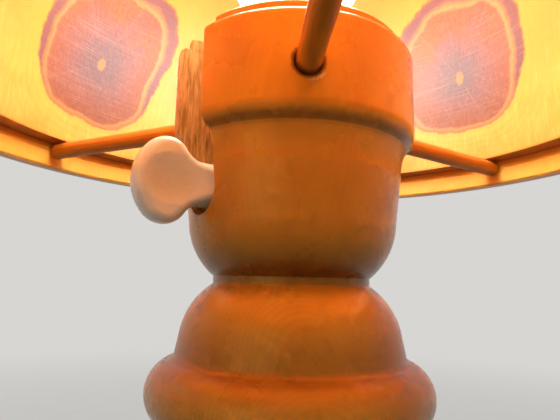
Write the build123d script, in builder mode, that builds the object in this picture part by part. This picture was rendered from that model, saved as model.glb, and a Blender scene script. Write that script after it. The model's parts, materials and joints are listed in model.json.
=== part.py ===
"""A turned wooden table lamp with a key-switched lamp-holder and a lift-off wooden shade.

Millimetres. The origin is on the table, on the axis of the column, +Z is up, and the
switch key points towards -Y. The back of the foot, with the cord's inlet, is at +Y.
"""
from build123d import *
from math import cos, radians, sin, sqrt
import os

os.makedirs("parts", exist_ok=True)

# Clearances
seat_gap = 0.25  # between a loose piece and what it rests on
body_gap = 0.4  # between pieces that move past each other
fit_gap = 0.05  # between a shaft and its hole
spigot_gap = 0.15  # round a turned spigot in its socket
hole_gap = 0.6  # round the pipe in the wood

# Base
felt_thickness = 2.0
felt_margin = 6.0
foot_radius = 78.0
foot_height = 34.0
foot_bead_height = 16.0
foot_bead_bulge = 3.5
foot_quirk = 3.0
recess_radius = 30.0
recess_depth = 14.0

# Lower column
lower_column_height = 150.0
base_bead_radius = 37.5
base_bead_height = 11.0
base_bead_bulge = 2.5
waist_radius = 29.0
waist_height = 20.0
belly_radius = 46.0
belly_height = 76.0
throat_radius = 32.0
throat_drop = 19.0  # of the throat below the column's top
band_radius = 38.0
band_height = 9.0
band_edge = 1.0

# Bell column
bell_height = 37.5
bead_radius = 40.6
bead_section = 8.7
bead_drop = 30.4
groove_radius = 33.4
shoulder_radius = 32.0
shoulder_drop = 14.5
shoulder_round = 20.1
groove_fillet = 2.2
neck_radius = 23.2
neck_rise = 0.8
neck_lip = 1.2
neck_edge = 0.3

# Spigots that join the turned sections
spigot_radius = 14.0
spigot_length = 8.0
head_spigot_radius = 11.0
head_spigot_length = 6.0

# Lamp head
head_floor = 9.0
bore_radius = 21.5
belly_low_radius = 31.0
belly_low_height = 16.5
head_radius = 32.5
cove_start = 29.6
quirk_radius = 34.2
quirk_height = 38.4
collar_radius = 36.7
collar_bottom = 43.0
collar_top = 67.0
collar_edge = 2.4
ring_radius = 33.6
ring_height = 3.6
ring_edge = 0.9

# Slot for the key
slot_width = 15.6
slot_shift = 0.9  # of the slot's middle to one side of the key's axis
slot_bottom = 24.5

# Arms
arm_radius = 3.2
arm_height = 52.0
arm_inset = 11.0
arm_tip_edge = 0.6
arm_spacing_angle = 120
arm_angles = {
    "arm_back": 90,
    "arm_front_left": 90 + arm_spacing_angle,
    "arm_front_right": 90 + 2 * arm_spacing_angle,
}
arm_hole_gap = 0.2
arm_mouth_radius = 3.9
arm_mouth_depth = 0.8

# Shade
shade_inner_radius = 104.0
shade_lean = 6.0
shade_shoulder_height = 92.0
shade_height = 148.0
shade_wall = 4.6
shade_mouth_radius = 46.0
shade_crown_radius = 88.0
rabbet_width = 8.0
rim_depth = 10.6
rim_wall = 5.0
rim_roll = 5.0
rim_bulge = 1.2
rim_edge = 0.8
rim_step = 0.8
rim_step_drop = 2.1
rim_step_slope = 1.5
mouth_bead = 3.4
mouth_edge = 1.2
mouth_cove = 2.0

# Threaded pipe and its nuts
pipe_radius = 5.0
pipe_wall = 1.2
base_nut_flats = 17.0
base_nut_height = 5.0
base_washer_radius = 14.0
base_washer_thickness = 2.0
pipe_end_below_nut = 2.0
head_nut_flats = 14.0
head_nut_height = 3.0
head_washer_radius = 9.0
head_washer_thickness = 1.0
pipe_end_above_nut = 5.0

# Cord inlet
inlet_height = 8.0
bush_radius = 5.0
bush_bore = 3.5
bush_length = 14.0
bush_flange = 6.8
bush_flange_thickness = 1.6

# Lamp-holder
holder_radius = 19.4
holder_wall = 2.2
holder_height = 61.0
holder_edge = 5.0
lap_length = 6.0
holder_step = 0.8
insert_wall = 2.6
insert_length = 6.2
core_thickness = 7.0
core_boss_radius = 13.6
core_boss_height = 6.0
sleeve_radius = 13.3
sleeve_wall = 0.5
sleeve_length = 27.0
sleeve_lip = 3.0
contact_thickness = 0.5
contact_width = 5.0
terminal_width = 6.0
terminal_length = 7.0
terminal_offset = 8.5
terminal_screw_radius = 1.6
terminal_screw_head = 2.6
lock_screw_radius = 1.5

# Turn switch
key_height = 25.0
shaft_radius = 2.5
rotor_radius = 5.6
rotor_length = 5.0
rotor_reach = 8.2
bracket_thickness = 1.0
bracket_width = 9.0
spring_thickness = 0.4
spring_width = 4.0

# Key knob
key_neck_radius = 6.1
key_neck_end = 31.0
key_paddle_length = 18.3
key_half_height = 11.5
key_half_thickness = 3.6
key_dish_depth = 0.8
key_dish_edge = 2.0

# Bulb
bulb_radius = 30.0
bulb_glass_wall = 0.8
bulb_glass_height = 81.0
bulb_neck_radius = 14.6
bulb_cap_radius = 13.0
bulb_cap_wall = 0.3
bulb_cap_height = 22.0
bulb_cap_flare = 2.0  # height of the cap's cone under the glass
bulb_end_height = 5.0
bulb_end_radius = 7.0
bulb_contact_radius = 4.0
bulb_contact_height = 1.2
bulb_contact_rise = 3.6  # of the bulb's end contact above the core
stem_radius = 5.0
stem_height = 34.0
filament_height = 52.0
filament_radius = 11.0
lead_radius = 0.5

# Heights of the stack
foot_z = felt_thickness
foot_top = foot_z + foot_height
bell_z = foot_top + lower_column_height
neck_z = bell_z + bell_height
joint_z = neck_z - neck_lip
floor_z = neck_z + head_floor
ring_top = neck_z + collar_top + ring_height
arm_z = neck_z + arm_height
key_z = neck_z + key_height
pipe_bore = pipe_radius - pipe_wall
pipe_hole = pipe_radius + hole_gap


def double_curve(start, end, heading=(0, 1)):
    """Two equal arcs that leave start and reach end with the same heading."""
    middle = ((start[0] + end[0]) / 2, (start[1] + end[1]) / 2)
    TangentArc(start, middle, tangent=heading)
    TangentArc(end, middle, tangent=(-heading[0], -heading[1]))


def radial_plane(angle, height):
    """A plane square to the lamp's axis direction at this angle, facing outwards."""
    across = (-sin(radians(angle)), cos(radians(angle)), 0)
    outward = (cos(radians(angle)), sin(radians(angle)), 0)
    return Plane(origin=(0, 0, height), x_dir=across, z_dir=outward)


# Felt pad under the foot
with BuildPart() as felt_pad:
    with BuildSketch():
        Circle(foot_radius - felt_margin)
    extrude(amount=felt_thickness)
felt_pad.part.label = "felt_pad"
export_step(felt_pad.part, "parts/felt_pad.step")

# Foot: a broad bead, a quirk and a cove up to the column's seat
seat_radius = base_bead_radius + foot_quirk
bead_start_radius = foot_radius - foot_bead_bulge
cove_foot_radius = bead_start_radius - foot_quirk
foot_socket_depth = spigot_length + seat_gap
inlet_z = foot_z + inlet_height
bush_face = foot_radius - bush_flange_thickness
with BuildPart() as foot:
    with BuildSketch(Plane.XZ):
        with BuildLine():
            Polyline(
                (bead_start_radius, foot_z),
                (recess_radius, foot_z),
                (recess_radius, foot_z + recess_depth),
                (pipe_hole, foot_z + recess_depth),
                (pipe_hole, foot_top - foot_socket_depth),
                (spigot_radius + spigot_gap, foot_top - foot_socket_depth),
                (spigot_radius + spigot_gap, foot_top),
                (seat_radius - foot_quirk / 2, foot_top),
                (seat_radius, foot_top - foot_quirk / 2),
                (seat_radius, foot_top - foot_quirk),
            )
            TangentArc(
                (cove_foot_radius, foot_z + foot_bead_height),
                (seat_radius, foot_top - foot_quirk),
                tangent=(-1, 0.06),
            )
            Line(
                (cove_foot_radius, foot_z + foot_bead_height),
                (bead_start_radius, foot_z + foot_bead_height),
            )
            ThreePointArc(
                (bead_start_radius, foot_z + foot_bead_height),
                (foot_radius, foot_z + foot_bead_height / 2),
                (bead_start_radius, foot_z),
            )
        make_face()
    revolve(axis=Axis.Z)
    with BuildSketch(Plane.XZ.offset(-recess_radius / 2)):
        with Locations((0, inlet_z)):
            Circle(bush_radius + fit_gap)
    extrude(amount=-foot_radius, mode=Mode.SUBTRACT)
    with BuildSketch(Plane.XZ.offset(-bush_face)):
        with Locations((0, inlet_z)):
            Circle(bush_flange + seat_gap)
    extrude(amount=-bush_flange, mode=Mode.SUBTRACT)
foot.part.label = "foot"
export_step(foot.part, "parts/foot.step")

# Lower column: a bead, a waist, a belly and a throat under a square band
with BuildPart() as lower_column:
    with BuildSketch(Plane.XZ):
        with BuildLine():
            waist = (waist_radius, foot_top + waist_height)
            belly = (belly_radius, foot_top + belly_height)
            throat = (throat_radius, bell_z - throat_drop)
            band_foot = (band_radius, bell_z - band_height)
            bead_low = (base_bead_radius - base_bead_bulge, foot_top)
            bead_high = (base_bead_radius - base_bead_bulge, foot_top + base_bead_height)
            ThreePointArc(bead_low, (base_bead_radius, foot_top + base_bead_height / 2), bead_high)
            TangentArc(waist, bead_high, tangent=(0, -1))
            double_curve(waist, belly)
            double_curve(belly, throat)
            TangentArc(throat, band_foot, tangent=(0, 1))
            Polyline(
                band_foot,
                (band_radius, bell_z - band_edge),
                (band_radius - band_edge, bell_z),
                (spigot_radius + spigot_gap, bell_z),
                (spigot_radius + spigot_gap, bell_z - spigot_length - seat_gap),
                (pipe_hole, bell_z - spigot_length - seat_gap),
                (pipe_hole, foot_top - spigot_length),
                (spigot_radius, foot_top - spigot_length),
                (spigot_radius, foot_top),
                bead_low,
            )
        make_face()
    revolve(axis=Axis.Z)
lower_column.part.label = "lower_column"
export_step(lower_column.part, "parts/lower_column.step")

# Bell column: the round bead, the filleted groove and the bell with its rounded shoulder
bead_centre = bead_radius - bead_section
bead_z = neck_z - bead_drop
groove_z = bead_z + sqrt(bead_section**2 - (groove_radius - bead_centre) ** 2)
bead_foot_radius = bead_centre + sqrt(bead_section**2 - (bead_z - bell_z) ** 2)
bell_shoulder = (shoulder_radius, neck_z - shoulder_drop)
bell_top = (neck_radius + neck_edge, joint_z - neck_edge)
with BuildPart() as bell_column:
    with BuildSketch(Plane.XZ) as bell_profile:
        with BuildLine():
            ThreePointArc(
                (bead_foot_radius, bell_z), (bead_radius, bead_z), (groove_radius, groove_z)
            )
            Line((groove_radius, groove_z), bell_shoulder)
            RadiusArc(bell_shoulder, bell_top, -shoulder_round)
            Polyline(
                bell_top,
                (neck_radius, joint_z),
                (head_spigot_radius + spigot_gap, joint_z),
                (head_spigot_radius + spigot_gap, joint_z - head_spigot_length - seat_gap),
                (pipe_hole, joint_z - head_spigot_length - seat_gap),
                (pipe_hole, bell_z - spigot_length),
                (spigot_radius, bell_z - spigot_length),
                (spigot_radius, bell_z),
                (bead_foot_radius, bell_z),
            )
        make_face()
        corners = bell_profile.vertices().sort_by_distance((groove_radius, groove_z))
        fillet(corners[0], groove_fillet)
    revolve(axis=Axis.Z)
bell_column.part.label = "bell_column"
export_step(bell_column.part, "parts/bell_column.step")

# Lamp head: rounded underside, cove, collar, stepped top, bore, slot and arm holes
arm_hole_radius = arm_radius + arm_hole_gap
arm_root = collar_radius - arm_inset
with BuildPart() as lamp_head:
    with BuildSketch(Plane.XZ):
        with BuildLine():
            belly_start = (neck_radius, neck_z + neck_rise)
            belly_end = (belly_low_radius, neck_z + belly_low_height)
            cove_foot = (head_radius, neck_z + cove_start)
            quirk = (quirk_radius, neck_z + quirk_height)
            collar_foot = (collar_radius, neck_z + collar_bottom)
            TangentArc(belly_end, belly_start, tangent=(-0.04, -1))
            Line(belly_end, cove_foot)
            TangentArc(cove_foot, quirk, tangent=(0, 1))
            TangentArc(collar_foot, quirk, tangent=(0, -1))
            Line(collar_foot, (collar_radius, neck_z + collar_top - collar_edge))
            TangentArc(
                (collar_radius, neck_z + collar_top - collar_edge),
                (collar_radius - collar_edge, neck_z + collar_top),
                tangent=(0, 1),
            )
            Polyline(
                (collar_radius - collar_edge, neck_z + collar_top),
                (ring_radius, neck_z + collar_top),
                (ring_radius, ring_top - ring_edge),
                (ring_radius - ring_edge, ring_top),
                (bore_radius + ring_edge, ring_top),
                (bore_radius, ring_top - ring_edge),
                (bore_radius, floor_z),
                (pipe_hole, floor_z),
                (pipe_hole, joint_z - head_spigot_length),
                (head_spigot_radius, joint_z - head_spigot_length),
                (head_spigot_radius, joint_z),
                (neck_radius, joint_z),
                belly_start,
            )
        make_face()
    revolve(axis=Axis.Z)
    with BuildSketch(Plane.XZ.offset(bore_radius * 0.6)):
        with BuildLine():
            slot_z = neck_z + slot_bottom
            slot_left = slot_shift - slot_width / 2
            slot_right = slot_shift + slot_width / 2
            ThreePointArc(
                (slot_left, slot_z), (slot_shift, slot_z - slot_width / 2), (slot_right, slot_z)
            )
            Polyline(
                (slot_right, slot_z),
                (slot_right, ring_top + collar_edge),
                (slot_left, ring_top + collar_edge),
                (slot_left, slot_z),
            )
        make_face()
    extrude(amount=collar_radius, mode=Mode.SUBTRACT)
    for angle in arm_angles.values():
        with BuildSketch(radial_plane(angle, arm_z).offset(arm_root)):
            Circle(arm_hole_radius)
        extrude(amount=2 * arm_inset, mode=Mode.SUBTRACT)
        with Locations(radial_plane(angle, arm_z).offset(collar_radius - arm_mouth_depth / 2)):
            Cone(arm_hole_radius, arm_mouth_radius, arm_mouth_depth, mode=Mode.SUBTRACT)
lamp_head.part.label = "lamp_head"
export_step(lamp_head.part, "parts/lamp_head.step")

# Dowel arms, with softened tips, from the head to the shade's rabbet
rabbet_radius = shade_inner_radius + rabbet_width
arm_tip = rabbet_radius - rim_step - body_gap
for name, angle in arm_angles.items():
    with BuildPart() as arm:
        with BuildSketch(radial_plane(angle, arm_z).offset(arm_root)):
            Circle(arm_radius)
        extrude(amount=arm_tip - arm_root)
        chamfer(arm.edges().filter_by(GeomType.CIRCLE), arm_tip_edge)
    arm.part.label = name
    export_step(arm.part, f"parts/{name}.step")

# Shade: rolled rim, stepped rabbet that rests on the arms, leaning wall, shoulder and mouth
ceiling_z = arm_z + arm_radius + seat_gap
rim_z = ceiling_z - rim_depth
rim_radius = rabbet_radius + rim_wall
rim_face_radius = rabbet_radius - rim_step
step_z = ceiling_z - rim_step_drop
shoulder_z = ceiling_z + shade_shoulder_height
crown_z = rim_z + shade_height
wall_radius = shade_inner_radius - shade_lean
crown_drop = (crown_z - shoulder_z) * 0.3
with BuildPart() as shade:
    with BuildSketch(Plane.XZ):
        with BuildLine():
            Polyline(
                (rim_face_radius, rim_z + rim_edge),
                (rim_face_radius, step_z - rim_step_slope),
                (rabbet_radius, step_z),
                (rabbet_radius, ceiling_z),
                (shade_inner_radius, ceiling_z),
                (wall_radius, shoulder_z),
            )
            ThreePointArc(
                (wall_radius, shoulder_z),
                (shade_crown_radius, crown_z - crown_drop - shade_wall),
                (shade_mouth_radius, crown_z - shade_wall),
            )
            Polyline(
                (shade_mouth_radius, crown_z - shade_wall),
                (shade_mouth_radius, crown_z + mouth_bead - mouth_edge),
                (shade_mouth_radius + mouth_edge, crown_z + mouth_bead),
                (shade_mouth_radius + mouth_bead, crown_z + mouth_bead),
                (shade_mouth_radius + mouth_bead + mouth_cove, crown_z),
            )
            ThreePointArc(
                (shade_mouth_radius + mouth_bead + mouth_cove, crown_z),
                (shade_crown_radius + shade_wall * 0.75, crown_z - crown_drop),
                (wall_radius + shade_wall, shoulder_z),
            )
            Line(
                (wall_radius + shade_wall, shoulder_z),
                (shade_inner_radius + shade_wall, ceiling_z + rim_roll + rim_wall),
            )
            TangentArc(
                (shade_inner_radius + shade_wall, ceiling_z + rim_roll + rim_wall),
                (rim_radius, ceiling_z + rim_edge),
                tangent=(0.1, -1),
            )
            ThreePointArc(
                (rim_radius, ceiling_z + rim_edge),
                (rim_radius + rim_bulge, (ceiling_z + rim_z) / 2),
                (rim_radius, rim_z + rim_edge),
            )
            Polyline(
                (rim_radius, rim_z + rim_edge),
                (rim_radius - rim_edge, rim_z),
                (rim_face_radius + rim_edge, rim_z),
                (rim_face_radius, rim_z + rim_edge),
            )
        make_face()
    revolve(axis=Axis.Z)
shade.part.label = "shade"
export_step(shade.part, "parts/shade.step")

# Threaded pipe through the whole column, with a nut and washer at each end
recess_top = foot_z + recess_depth
head_nut_z = floor_z + head_washer_thickness
pipe_low = recess_top - base_washer_thickness - base_nut_height - pipe_end_below_nut
pipe_high = head_nut_z + head_nut_height + pipe_end_above_nut
with BuildPart() as threaded_pipe:
    with BuildSketch(Plane.XY.offset(pipe_low)):
        Circle(pipe_radius)
        Circle(pipe_bore, mode=Mode.SUBTRACT)
    extrude(amount=pipe_high - pipe_low)
threaded_pipe.part.label = "threaded_pipe"
export_step(threaded_pipe.part, "parts/threaded_pipe.step")


def washer(name, bottom, outer, thickness):
    """A flat washer on the pipe."""
    with BuildPart() as ring:
        with BuildSketch(Plane.XY.offset(bottom)):
            Circle(outer)
            Circle(pipe_radius + fit_gap, mode=Mode.SUBTRACT)
        extrude(amount=thickness)
    ring.part.label = name
    export_step(ring.part, f"parts/{name}.step")


def hexagon_nut(name, bottom, flats, height):
    """A nut on the pipe, its corners turned down at both faces."""
    turned = flats / 2
    corner = turned / cos(radians(30))
    slope = (corner - turned) / 2
    with BuildPart() as nut:
        with BuildSketch(Plane.XY.offset(bottom)):
            RegularPolygon(corner, 6)
            Circle(pipe_radius + fit_gap, mode=Mode.SUBTRACT)
        extrude(amount=height)
        with BuildSketch(Plane.XZ):
            with BuildLine():
                Polyline(
                    (0, bottom),
                    (turned, bottom),
                    (corner, bottom + slope),
                    (corner, bottom + height - slope),
                    (turned, bottom + height),
                    (0, bottom + height),
                    close=True,
                )
            make_face()
        revolve(axis=Axis.Z, mode=Mode.INTERSECT)
    nut.part.label = name
    export_step(nut.part, f"parts/{name}.step")


base_washer_z = recess_top - base_washer_thickness
washer("base_washer", base_washer_z, base_washer_radius, base_washer_thickness)
hexagon_nut("base_nut", base_washer_z - base_nut_height, base_nut_flats, base_nut_height)
washer("head_washer", floor_z, head_washer_radius, head_washer_thickness)
hexagon_nut("head_nut", head_nut_z, head_nut_flats, head_nut_height)

# Cord bush: a flanged bush in the back of the foot
with BuildPart() as cord_bush:
    with BuildSketch(Plane.XZ.offset(-bush_face)):
        with Locations((0, inlet_z)):
            Circle(bush_flange)
    extrude(amount=-bush_flange_thickness)
    with BuildSketch(Plane.XZ.offset(-bush_face)):
        with Locations((0, inlet_z)):
            Circle(bush_radius)
    extrude(amount=bush_length)
    with BuildSketch(Plane.XZ.offset(-bush_face - bush_flange_thickness)):
        with Locations((0, inlet_z)):
            Circle(bush_bore)
    extrude(amount=bush_length + bush_flange_thickness, mode=Mode.SUBTRACT)
cord_bush.part.label = "cord_bush"
export_step(cord_bush.part, "parts/cord_bush.step")

# Holder cap: a moulded cup that screws down on the pipe, with the key's hole in its side
holder_z = head_nut_z + head_nut_height + seat_gap
cap_inner = holder_radius - holder_wall
ledge_z = key_z + rotor_radius + body_gap + bracket_thickness + fit_gap
lap_z = ledge_z + core_thickness + seat_gap
cap_top = lap_z + lap_length
insert_radius = pipe_radius + fit_gap + insert_wall
with BuildPart() as holder_cap:
    with BuildSketch(Plane.XZ):
        with BuildLine():
            TangentArc(
                (holder_radius, holder_z + holder_edge),
                (holder_radius - holder_edge, holder_z),
                tangent=(0, -1),
            )
            Polyline(
                (holder_radius - holder_edge, holder_z),
                (insert_radius + fit_gap, holder_z),
                (insert_radius + fit_gap, holder_z + holder_wall),
                (cap_inner - holder_edge, holder_z + holder_wall),
                (cap_inner - holder_wall / 2, holder_z + holder_edge),
                (cap_inner - holder_wall / 2, ledge_z),
                (cap_inner, ledge_z),
                (cap_inner, cap_top),
                (holder_radius, cap_top),
                (holder_radius, holder_z + holder_edge),
            )
        make_face()
    revolve(axis=Axis.Z)
    with BuildSketch(Plane.XZ.offset(cap_inner / 2)):
        with Locations((0, key_z)):
            Circle(shaft_radius + fit_gap)
    extrude(amount=holder_radius, mode=Mode.SUBTRACT)
holder_cap.part.label = "holder_cap"
export_step(holder_cap.part, "parts/holder_cap.step")

# Threaded insert in the cap's floor, locked on the pipe by a small cross screw
lock_z = holder_z + holder_wall + lock_screw_radius + seat_gap
with BuildPart() as threaded_insert:
    with BuildSketch(Plane.XY.offset(holder_z)):
        Circle(insert_radius)
        Circle(pipe_radius + fit_gap, mode=Mode.SUBTRACT)
    extrude(amount=insert_length)
    with BuildSketch(Plane.YZ):
        with Locations((0, lock_z)):
            Circle(lock_screw_radius + fit_gap)
    extrude(amount=insert_radius * 2, mode=Mode.SUBTRACT)
threaded_insert.part.label = "threaded_insert"
export_step(threaded_insert.part, "parts/threaded_insert.step")

with BuildPart() as lock_screw:
    with BuildSketch(Plane.YZ.offset(pipe_radius + fit_gap)):
        with Locations((0, lock_z)):
            Circle(lock_screw_radius)
    extrude(amount=insert_wall + lock_screw_radius)
    with BuildSketch(Plane.YZ.offset(insert_radius + lock_screw_radius)):
        with Locations((0, lock_z)):
            Rectangle(lock_screw_radius * 3, contact_thickness)
    extrude(amount=-lock_screw_radius / 2, mode=Mode.SUBTRACT)
lock_screw.part.label = "lock_screw"
export_step(lock_screw.part, "parts/lock_screw.step")

# Holder core: the insulating block, clamped between the cap's ledge and the shell
core_top = lap_z - seat_gap
boss_top = core_top + core_boss_height
with BuildPart() as holder_core:
    with BuildSketch(Plane.XY.offset(ledge_z)):
        Circle(cap_inner - fit_gap)
    extrude(amount=core_top - ledge_z)
    with BuildSketch(Plane.XY.offset(core_top)):
        Circle(core_boss_radius)
    extrude(amount=core_boss_height)
    with BuildSketch(Plane.XY.offset(boss_top)):
        SlotOverall(core_boss_radius * 1.3, contact_width * 1.2)
    extrude(amount=-contact_thickness * 2, mode=Mode.SUBTRACT)
holder_core.part.label = "holder_core"
export_step(holder_core.part, "parts/holder_core.step")

# Holder shell: the upper half, lapped inside the cap, with a rolled mouth
shell_top = holder_z + holder_height
sleeve_outer = sleeve_radius + sleeve_wall
shell_inner = sleeve_outer + body_gap
shell_lap_radius = cap_inner - fit_gap
with BuildPart() as holder_shell:
    with BuildSketch(Plane.XZ):
        with BuildLine():
            Polyline(
                (shell_inner, lap_z),
                (shell_lap_radius, lap_z),
                (shell_lap_radius, cap_top + fit_gap),
                (holder_radius, cap_top + fit_gap),
                (holder_radius, cap_top + holder_wall),
                (holder_radius - holder_step, cap_top + holder_wall + holder_step),
                (holder_radius - holder_step, shell_top - holder_wall),
            )
            ThreePointArc(
                (holder_radius - holder_step, shell_top - holder_wall),
                (holder_radius - 2 * holder_step, shell_top - 0.75 * holder_step),
                (holder_radius - holder_wall - holder_step, shell_top),
            )
            Polyline(
                (holder_radius - holder_wall - holder_step, shell_top),
                (shell_inner, shell_top),
                (shell_inner, lap_z),
            )
        make_face()
    revolve(axis=Axis.Z)
holder_shell.part.label = "holder_shell"
export_step(holder_shell.part, "parts/holder_shell.step")

# Thread sleeve: the brass contact shell that the bulb's cap screws into
with BuildPart() as thread_sleeve:
    with BuildSketch(Plane.XZ):
        with BuildLine():
            Polyline(
                (sleeve_outer - sleeve_lip, boss_top),
                (sleeve_outer, boss_top),
                (sleeve_outer, boss_top + sleeve_length),
                (sleeve_radius, boss_top + sleeve_length),
                (sleeve_radius, boss_top + sleeve_wall),
                (sleeve_outer - sleeve_lip, boss_top + sleeve_wall),
                close=True,
            )
        make_face()
    revolve(axis=Axis.Z)
thread_sleeve.part.label = "thread_sleeve"
export_step(thread_sleeve.part, "parts/thread_sleeve.step")

# Centre contact: a sprung tongue that lies in the core's groove and rises to the bulb
tongue_z = boss_top - contact_thickness * 2
bulb_z = boss_top + bulb_contact_rise
tongue_high = bulb_z - seat_gap - contact_thickness
tongue_root = -core_boss_radius * 0.55
with BuildPart() as centre_contact:
    with BuildSketch(Plane.XZ.offset(-contact_width / 2)):
        with BuildLine():
            Polyline(
                (tongue_root, tongue_z),
                (tongue_root * 0.45, tongue_z),
                (tongue_root * 0.12, tongue_high),
                (bulb_contact_radius, tongue_high),
                (bulb_contact_radius, tongue_high + contact_thickness),
                (tongue_root * 0.2, tongue_high + contact_thickness),
                (tongue_root * 0.53, tongue_z + contact_thickness),
                (tongue_root, tongue_z + contact_thickness),
                close=True,
            )
        make_face()
    extrude(amount=contact_width)
centre_contact.part.label = "centre_contact"
export_step(centre_contact.part, "parts/centre_contact.step")

# Terminals under the core: two blocks, each with a cross hole and a clamp screw
terminal_y = terminal_width
terminal_z = ledge_z - terminal_length
terminal_spots = [(-terminal_offset, terminal_y), (terminal_offset, terminal_y)]
with BuildPart() as terminal_blocks:
    with BuildSketch(Plane.XY.offset(terminal_z)):
        with Locations(*terminal_spots):
            Rectangle(terminal_width, terminal_width)
    extrude(amount=terminal_length)
    with BuildSketch(Plane.XY.offset(terminal_z)):
        with Locations(*terminal_spots):
            Circle(terminal_screw_radius)
    extrude(amount=terminal_length * 0.6, mode=Mode.SUBTRACT)
terminal_blocks.part.label = "terminal_blocks"
export_step(terminal_blocks.part, "parts/terminal_blocks.step")

with BuildPart() as terminal_screws:
    for spot in terminal_spots:
        outward = 1 if spot[0] > 0 else -1
        block_face = terminal_offset + terminal_width / 2
        with BuildSketch(Plane.YZ.offset(outward * block_face)):
            with Locations((terminal_y, terminal_z + terminal_length / 2)):
                Circle(terminal_screw_head)
        extrude(amount=outward * terminal_screw_radius)
terminal_screws.part.label = "terminal_screws"
export_step(terminal_screws.part, "parts/terminal_screws.step")

# Switch bracket: a strip under the core with two ears that carry the shaft
ear_outer = rotor_reach + rotor_length + bracket_thickness + seat_gap
ear_inner = rotor_reach - bracket_thickness - seat_gap
ear_drop = shaft_radius + bracket_thickness * 2
with BuildPart() as switch_bracket:
    with BuildSketch(Plane.XY.offset(ledge_z - bracket_thickness)):
        with Locations((0, -(ear_outer + ear_inner) / 2)):
            Rectangle(bracket_width, ear_outer - ear_inner)
    extrude(amount=bracket_thickness)
    for ear in (ear_outer - bracket_thickness, ear_inner):
        with BuildSketch(Plane.XZ.offset(ear)):
            with BuildLine():
                ThreePointArc(
                    (-bracket_width / 2, key_z), (0, key_z - ear_drop), (bracket_width / 2, key_z)
                )
                Polyline(
                    (bracket_width / 2, key_z),
                    (bracket_width / 2, ledge_z - bracket_thickness),
                    (-bracket_width / 2, ledge_z - bracket_thickness),
                    (-bracket_width / 2, key_z),
                )
            make_face()
            with Locations((0, key_z)):
                Circle(shaft_radius + fit_gap, mode=Mode.SUBTRACT)
        extrude(amount=bracket_thickness)
switch_bracket.part.label = "switch_bracket"
export_step(switch_bracket.part, "parts/switch_bracket.step")

# Contact spring: a leaf beside the rotor, hung from the core
spring_x = rotor_radius + body_gap
spring_y = rotor_reach + rotor_length / 2
with BuildPart() as contact_spring:
    with BuildSketch(Plane.XZ.offset(spring_y - spring_width / 2)):
        with BuildLine():
            Polyline(
                (spring_x, ledge_z),
                (spring_x, key_z - shaft_radius),
                (spring_x + spring_thickness * 2, key_z - shaft_radius * 2),
                (spring_x + spring_thickness * 3, key_z - shaft_radius * 2),
                (spring_x + spring_thickness, key_z - shaft_radius),
                (spring_x + spring_thickness, ledge_z),
                close=True,
            )
        make_face()
    extrude(amount=spring_width)
contact_spring.part.label = "contact_spring"
export_step(contact_spring.part, "parts/contact_spring.step")

# Switch rotor: a four-lobed cam on the shaft
key_plane = Plane(origin=(0, 0, key_z), x_dir=(1, 0, 0), z_dir=(0, -1, 0))
rotor_flats = rotor_radius * 1.6
with BuildPart() as switch_rotor:
    with BuildSketch(key_plane.offset(rotor_reach)):
        Circle(rotor_radius)
        Rectangle(rotor_flats, rotor_flats, mode=Mode.INTERSECT)
        Circle(shaft_radius + fit_gap, mode=Mode.SUBTRACT)
    extrude(amount=rotor_length)
switch_rotor.part.label = "switch_rotor"
export_step(switch_rotor.part, "parts/switch_rotor.step")

# Key shaft: from the inner ear, through the rotor and the cap, into the knob
key_root = holder_radius + body_gap
shaft_start = ear_inner - bracket_thickness
shaft_end = key_root + key_neck_radius * 1.5
with BuildPart() as key_shaft:
    with BuildSketch(key_plane.offset(shaft_start)):
        Circle(shaft_radius)
    extrude(amount=shaft_end - shaft_start)
    chamfer(key_shaft.edges().filter_by(GeomType.CIRCLE), 0.3)
key_shaft.part.label = "key_shaft"
export_step(key_shaft.part, "parts/key_shaft.step")

# Key knob: a round neck that flares into a dished paddle with a thick rounded rim
paddle_plane = Plane(origin=(0, 0, key_z), x_dir=(0, -1, 0), z_dir=(-1, 0, 0))
thickness_plane = Plane(origin=(0, 0, key_z), x_dir=(0, -1, 0), z_dir=(0, 0, -1))
key_tip_reach = key_neck_end + key_paddle_length
key_wide_reach = key_neck_end + key_paddle_length * 0.525
key_reach = key_tip_reach - key_wide_reach
key_corner = key_reach * 0.8
key_rim = key_half_thickness * 2 / 3
key_dish_radius = key_half_height - key_rim * 2
key_rise = key_half_height - key_corner
tip_arc = (key_reach**2 + key_rise**2 - key_corner**2) / (2 * (key_reach - key_corner))
tip_centre = key_tip_reach - tip_arc
arc_slope = sqrt((key_wide_reach - tip_centre) ** 2 + key_rise**2) / tip_arc
arcs_meet = (tip_centre + (key_wide_reach - tip_centre) / arc_slope, key_rise / arc_slope)
wide_point = (key_wide_reach, key_half_height)
neck_point = (key_neck_end, key_neck_radius)
face_point = (key_wide_reach - 1, key_half_thickness)
face_root = (key_neck_end - 1, key_neck_radius + fit_gap)
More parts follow.
